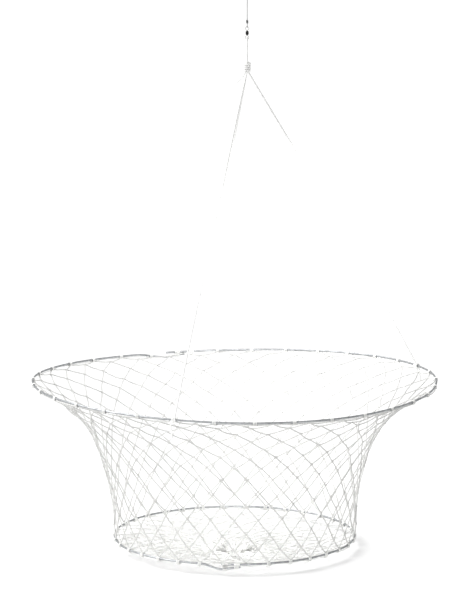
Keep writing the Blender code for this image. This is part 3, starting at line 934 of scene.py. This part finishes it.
class TRAP_OT_floor_net(bpy.types.Operator):
    """Gather the floor net and tie its drawstring"""

    bl_idname = "trap.floor_net"
    bl_label = "Floor net and drawstring"

    def execute(self, context):
        sizes = context.scene.trap_sizes
        chance = random.Random(sizes.seed + 1)
        half_rows = 15  # of half a mesh each, from the bottom ring to the gather
        outer = BOTTOM_RADIUS - WIRE * 0.3
        rows, ways = [], []
        for row in range(half_rows + 1):
            share = (row / half_rows) ** 0.94
            radius = outer + (GATHER_RADIUS - outer) * share
            height = BOTTOM_Z - FLOOR_SAG * (1.0 - (radius / BOTTOM_RADIUS) ** 2) ** 0.5
            places, facing = [], []
            for angle in row_angles(len(KNOT_ROWS) + row):
                turn = math.radians(angle)
                out = Vector((math.cos(turn), math.sin(turn), 0.0))
                if row == 0:
                    wire = section_at(bottom_point, along(BOTTOM_LAP, angle))
                    place = wire @ Vector((-0.0006, -WIRE * 0.7, 0.0))
                else:
                    wander = sizes.uneven * (2.0 if row < half_rows else 0.3)
                    middle = Vector((BASKET_X, GATHER_Y * share, height))
                    place = middle + out * (radius + chance.gauss(0, wander))
                    place += Vector((-out.y, out.x, 0.0)) * chance.gauss(0, wander)
                    wave = noise.noise(Vector((place.x, place.y, 0.0)) * 28.0)
                    place.z += 0.0015 + 0.0030 * (0.5 + wave) * math.sin(math.pi * min(share + 0.1, 1.0))
                places.append(place)
                facing.append((Vector((0.0, 0.0, 1.0)), Vector((-out.y, out.x, 0.0))))
            rows.append(places)
            ways.append(facing)
        paths = []
        for k, (upper, lower) in enumerate(zip(rows, rows[1:])):

            def sag():
                wide = 0.0016 if k < half_rows - 1 else 0.0010
                x, y, up = chance.gauss(0, wide), chance.gauss(0, wide), abs(chance.gauss(0.0, 0.0010))
                return Vector((x, y, up))

            shift = 0 if (len(KNOT_ROWS) + k) % 2 else 1
            paths.append(zigzag(upper, lower, shift, sag))
        body, twine = "basket_floor", sizes.netting
        loops = [self.tuft(chance) for _ in range(22)]
        # the floor net, its tuft and its knots take the netting twine painted whiter: painted light
        laid_piece("floor_net_tuft", loops, twine, "off_white_and_painted_light", body, closed=True)
        laid_piece("floor_net_twine", paths, twine, "off_white_and_painted_light", body, "floor_net", closed=True)
        knots_piece("floor_net_knots", rows, ways, sizes.seed + 2, "off_white_and_painted_light", body)
        self.drawstring()
        return {"FINISHED"}

    @staticmethod
    def tuft(chance):
        """A loop of the net's bunched edge, which stands up on either side of the gather."""
        turn = chance.choice((0.0, math.pi)) + chance.gauss(0.0, 0.6)
        root, reach = chance.uniform(0.006, 0.013), chance.uniform(0.008, 0.024)
        rise = chance.uniform(0.003, 0.013)
        open_by = chance.uniform(0.2, 0.5)
        heart = Vector((BASKET_X, GATHER_Y, DRAWSTRING_Z + 0.003))
        found = []
        for k in range(40):
            t = 2 * math.pi * k / 40
            far = 0.5 - 0.5 * math.cos(t)
            a = turn + open_by * math.sin(t)
            out = root + reach * far
            found.append(heart + Vector((out * math.cos(a), out * math.sin(a), rise * far)))
        return found

    def drawstring(self):
        body, thick = "basket_floor", CORD * 0.8
        middle = Vector((BASKET_X, GATHER_Y, 0.0))
        loop = []
        for k in range(40):
            a = 2 * math.pi * k / 40
            loop.append(middle + Vector((0.0045 * math.cos(a), 0.0045 * math.sin(a), DRAWSTRING_Z)))
        laid_piece("drawstring_loop_cord", [loop], thick, "cord", body, "drawstring_loop", closed=True)
        knot_z = DRAWSTRING_Z + CORD * 0.4 + 0.0003 + 0.0042
        place = Matrix.Translation(middle + Vector((0.0, 0.0, knot_z)))
        turned = place @ Matrix.Rotation(math.radians(78), 4, "Y")
        route = wound(turned, 0.0026, thick * 1.02, 2.6)
        knot = laid_piece("drawstring_knot_cord", [route], thick, "cord", body, "drawstring_knot")
        for side, points in DRAWSTRING_ENDS.items():
            path = through([middle + Vector(point) for point in points], 0.0008)
            node = f"drawstring_end_{side}"
            end = laid_piece(node + "_cord", [path], thick, "cord", body, node)


# ---- line, swivel and bridle ----


def half_round(middle, radius, way, reach, count=14):
    """A half circle round an eye's wire in the YZ plane, with two straight sides."""
    arc = []
    for k in range(count + 1):
        angle = math.pi * k / count
        arc.append(Vector((0.0, radius * math.cos(angle), middle - way * radius * math.sin(angle))))
    ends = [Vector((0.0, y, middle + way * reach)) for y in (radius, -radius)]
    steps = max(4, round(reach / 0.0008))
    first = [ends[0].lerp(arc[0], k / steps) for k in range(steps)]
    last = [arc[-1].lerp(ends[1], k / steps) for k in range(1, steps + 1)]
    return [*first, *arc, *last]


class TRAP_OT_line(bpy.types.Operator):
    """Hang the line, its loop and the swivel"""

    bl_idname = "trap.line"
    bl_label = "Line and swivel"

    def execute(self, context):
        loop = through(HANG_LOOP, 0.0006)
        for node, turns, reach in (("hang_loop_knot", 5.5, 0.0016), ("line_knot", 3.4, 0.0013)):
            low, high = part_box(node)
            route = wound(Matrix.Translation((low + high) / 2), reach, LINE * 1.06, turns)
            laid_piece(node + "_turns", [route], LINE, "line", "line", node)
        hang = laid_piece("hang_loop_line", [loop], LINE, "line", "line", "hang_loop")

        low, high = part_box("hauling_line")
        # it runs on into both knots
        top, bottom = Vector((0.0, 0.0, high.z + 0.006)), Vector((0.0, 0.0, low.z - 0.004))
        count = 60
        path = [top.lerp(bottom, k / count) for k in range(count + 1)]
        line = laid_piece("hauling_line_line", [path], LINE, "line", "line", "hauling_line")
        _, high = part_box("line_bight")
        _, eye_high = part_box("swivel_upper_eye")
        turned = half_round(eye_high.z - 0.0004, 0.0013, 1, high.z - eye_high.z + 0.002)
        bight = laid_piece("line_bight_line", [turned], LINE, "line", "line", "line_bight")

        use = finishes()
        metals = {"swivel_barrel": "barrel", "swivel_upper_eye": "eye", "swivel_lower_eye": "eye"}
        for node, finish in metals.items():
            materials = FRAME["nodes"][node].data.materials
            materials.clear()
            materials.append(use[finish])
        return {"FINISHED"}


class TRAP_OT_bridle(bpy.types.Operator):
    """Tie the bridle: its loop, its knot, three legs and their hitches"""

    bl_idname = "trap.bridle"
    bl_label = "Bridle"

    def execute(self, context):
        low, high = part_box("harness_loop")
        eye_low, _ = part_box("swivel_lower_eye")
        middle = eye_low.z + 0.0004
        path = half_round(middle, 0.0022, -1, middle - low.z + 0.003)
        loop = laid_piece("harness_loop_cord", [path], CORD, "cord", "harness", "harness_loop")
        low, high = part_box("apex_knot")
        place = Matrix.Translation((low + high) / 2) @ Matrix.Rotation(math.radians(12), 4, "X")
        route = wound(place, 0.0041, CORD * 0.98, 4.2, per_turn=18)
        knot = laid_piece("apex_knot_cord", [route], CORD, "cord", "harness", "apex_knot")
        tail = through(APEX_TAIL, 0.0006)
        tail.insert(0, tail[0] + Vector((0.0022, 0.0, 0.003)))
        end = laid_piece("apex_tail_cord", [tail], CORD * 0.9, "cord", "harness", "apex_tail")
        for side, points in LEG_ROUTES.items():
            self.leg(side, points)
        return {"FINISHED"}

    def leg(self, side, points):
        """One leg, the hitch that ties it to the top ring, and the hitch's loose tail."""
        place = section_at(top_point, along(TOP_LAP, HITCH_ANGLES[side]))
        reach = WIRE / 2 + CORD / 2 + 0.0002
        turns = wound(place, reach, CORD * 1.03, 2.7, start=math.pi * 0.35, per_turn=18)
        hitch = laid_piece(f"hitch_{side}_cord", [turns], CORD, "cord", "harness", f"hitch_{side}")
        last = place.inverted() @ turns[-1]
        down = [
            Vector((last.x * 0.9, last.y, last.z)),
            Vector((0.0024, -0.0075, last.z)),
            Vector((0.0026, -0.0118, last.z * 0.8)),
            Vector((0.0052, -0.0188, last.z * 0.3)),
            Vector((0.0060, -0.0255, 0.0)),
        ]
        tail = through([place @ point for point in down], 0.0008)
        node = f"hitch_tail_{side}"
        loose = laid_piece(node + "_cord", [tail], CORD * 0.9, "cord", "harness", node)
        # the leg comes out of the knot and runs into the hitch's turns
        start = Vector(points[0]) + (Vector(points[0]) - Vector(points[1])).normalized() * 0.004
        end = Vector(points[-1]) + (Vector(points[-1]) - Vector(points[-2])).normalized() * 0.002
        path = through([start, *points, end], 0.0011)
        node = f"bridle_leg_{side}"
        leg = laid_piece(node + "_cord", [path], CORD, "cord", "harness", node)


# ---- stage ----


class TRAP_OT_stage(bpy.types.Operator):
    """Lay the floor, hang the lights and place the camera"""

    bl_idname = "trap.stage"
    bl_label = "Floor, lights and camera"

    def execute(self, context):
        scene = context.scene
        use = scene.trap_stage
        floor_z = CAD_BOX[0][2] - MM
        half = 60.0
        mesh = bpy.data.meshes.new("floor")
        corners = [(x * half, y * half, floor_z) for x, y in ((-1, -1), (1, -1), (1, 1), (-1, 1))]
        mesh.from_pydata(corners, [], [(0, 1, 2, 3)])
        mesh.materials.append(pale_floor(use.floor))
        floor = bpy.data.objects.new("floor", mesh)
        scene.collection.objects.link(floor)

        world = bpy.data.worlds.new("even light")
        world.use_nodes = True
        back = world.node_tree.nodes["Background"]
        back.inputs["Color"].default_value = (1.0, 1.0, 1.0, 1.0)
        back.inputs["Strength"].default_value = use.fill
        scene.world = world
        self.sun("key", use.key, 42.0, (math.radians(40), 0.0, math.radians(-95)))
        softboxes = (  # name, power, place, what it is aimed at, spread in degrees, side
            ("mouth", use.mouth, (0.06, -0.12, -0.38), (0.07, 0.30, -0.64), 80.0, 0.3),
            ("mouth left", use.mouth / 2, (0.15, -0.10, -0.42), (-0.30, 0.05, -0.64), 76.0, 0.3),
            ("low", use.low, (-0.02, -0.85, -0.79), (-0.02, -0.06, -0.868), 40.0, 0.3),
            ("gather", use.gather, (-0.02, -0.19, -0.40), (-0.019, -0.055, -0.868), 15.0, 0.08),
            ("left", use.left, (-0.62, -0.36, -0.48), (-0.25, -0.20, -0.68), 120.0, 0.3),
        )
        for softbox in softboxes:
            self.softbox(*softbox)

        scene.view_settings.view_transform = "Standard"
        camera = bpy.data.objects.new("camera", bpy.data.cameras.new("camera"))
        scene.collection.objects.link(camera)
        scene.camera = camera
        distance, rise = 3.636, math.radians(8.47)
        aim = Vector((-0.0172, 0.0, -0.5045))
        camera.location = aim + Vector((0.0, -math.cos(rise), math.sin(rise))) * distance
        camera.rotation_euler = (math.pi / 2 - rise, 0.0, 0.0)
        camera.data.lens = 145.72
        camera.data.sensor_width = 36.0
        camera.data.clip_end = 300.0
        return {"FINISHED"}

    def softbox(self, name, power, place, aim, spread, size):
        light = bpy.data.lights.new(name + " softbox", "AREA")
        light.shape, light.size, light.energy = "SQUARE", size, power
        light.spread = math.radians(spread)
        obj = bpy.data.objects.new(name + " softbox", light)
        obj.location = place
        obj.rotation_euler = (Vector(aim) - Vector(place)).to_track_quat("-Z", "Y").to_euler()
        obj.visible_camera = False
        bpy.context.scene.collection.objects.link(obj)

    def sun(self, name, strength, spread, turn):
        light = bpy.data.lights.new(name, "SUN")
        light.energy = strength
        light.angle = math.radians(spread)
        obj = bpy.data.objects.new(name, light)
        obj.rotation_euler = turn
        bpy.context.scene.collection.objects.link(obj)


class TRAP_PT_panel(bpy.types.Panel):
    """Sizes, colours and the steps that build the trap"""

    bl_idname = "TRAP_PT_panel"
    bl_label = "Crab trap"
    bl_space_type = "VIEW_3D"
    bl_region_type = "UI"
    bl_category = "Crab trap"

    def draw(self, context):
        for group in (context.scene.trap_sizes, context.scene.trap_colours, context.scene.trap_stage):
            box = self.layout.box()
            for name in group.__annotations__:
                box.prop(group, name)
        for step in STEPS:
            self.layout.operator(step.bl_idname)


GROUPS = {"trap_sizes": TrapSizes, "trap_colours": TrapColours, "trap_stage": TrapStage}
STEPS = (
    TRAP_OT_stage,
    TRAP_OT_line,
    TRAP_OT_bridle,
    TRAP_OT_rings,
    TRAP_OT_lacing,
    TRAP_OT_side_net,
    TRAP_OT_floor_net,
)


def register():
    for made in (*GROUPS.values(), *STEPS, TRAP_PT_panel):
        bpy.utils.register_class(made)
    for name, group in GROUPS.items():
        setattr(bpy.types.Scene, name, bpy.props.PointerProperty(type=group))


def unregister():
    for name in GROUPS:
        delattr(bpy.types.Scene, name)
    for made in (TRAP_PT_panel, *STEPS, *GROUPS.values()):
        bpy.utils.unregister_class(made)


def main():
    register()
    for obj in list(bpy.data.objects):
        if obj.name in ("Cube", "Light", "Camera"):
            bpy.data.objects.remove(obj)
    for step in STEPS:
        group, name = step.bl_idname.split(".")
        getattr(getattr(bpy.ops, group), name)()


if __name__ == "__main__":
    main()
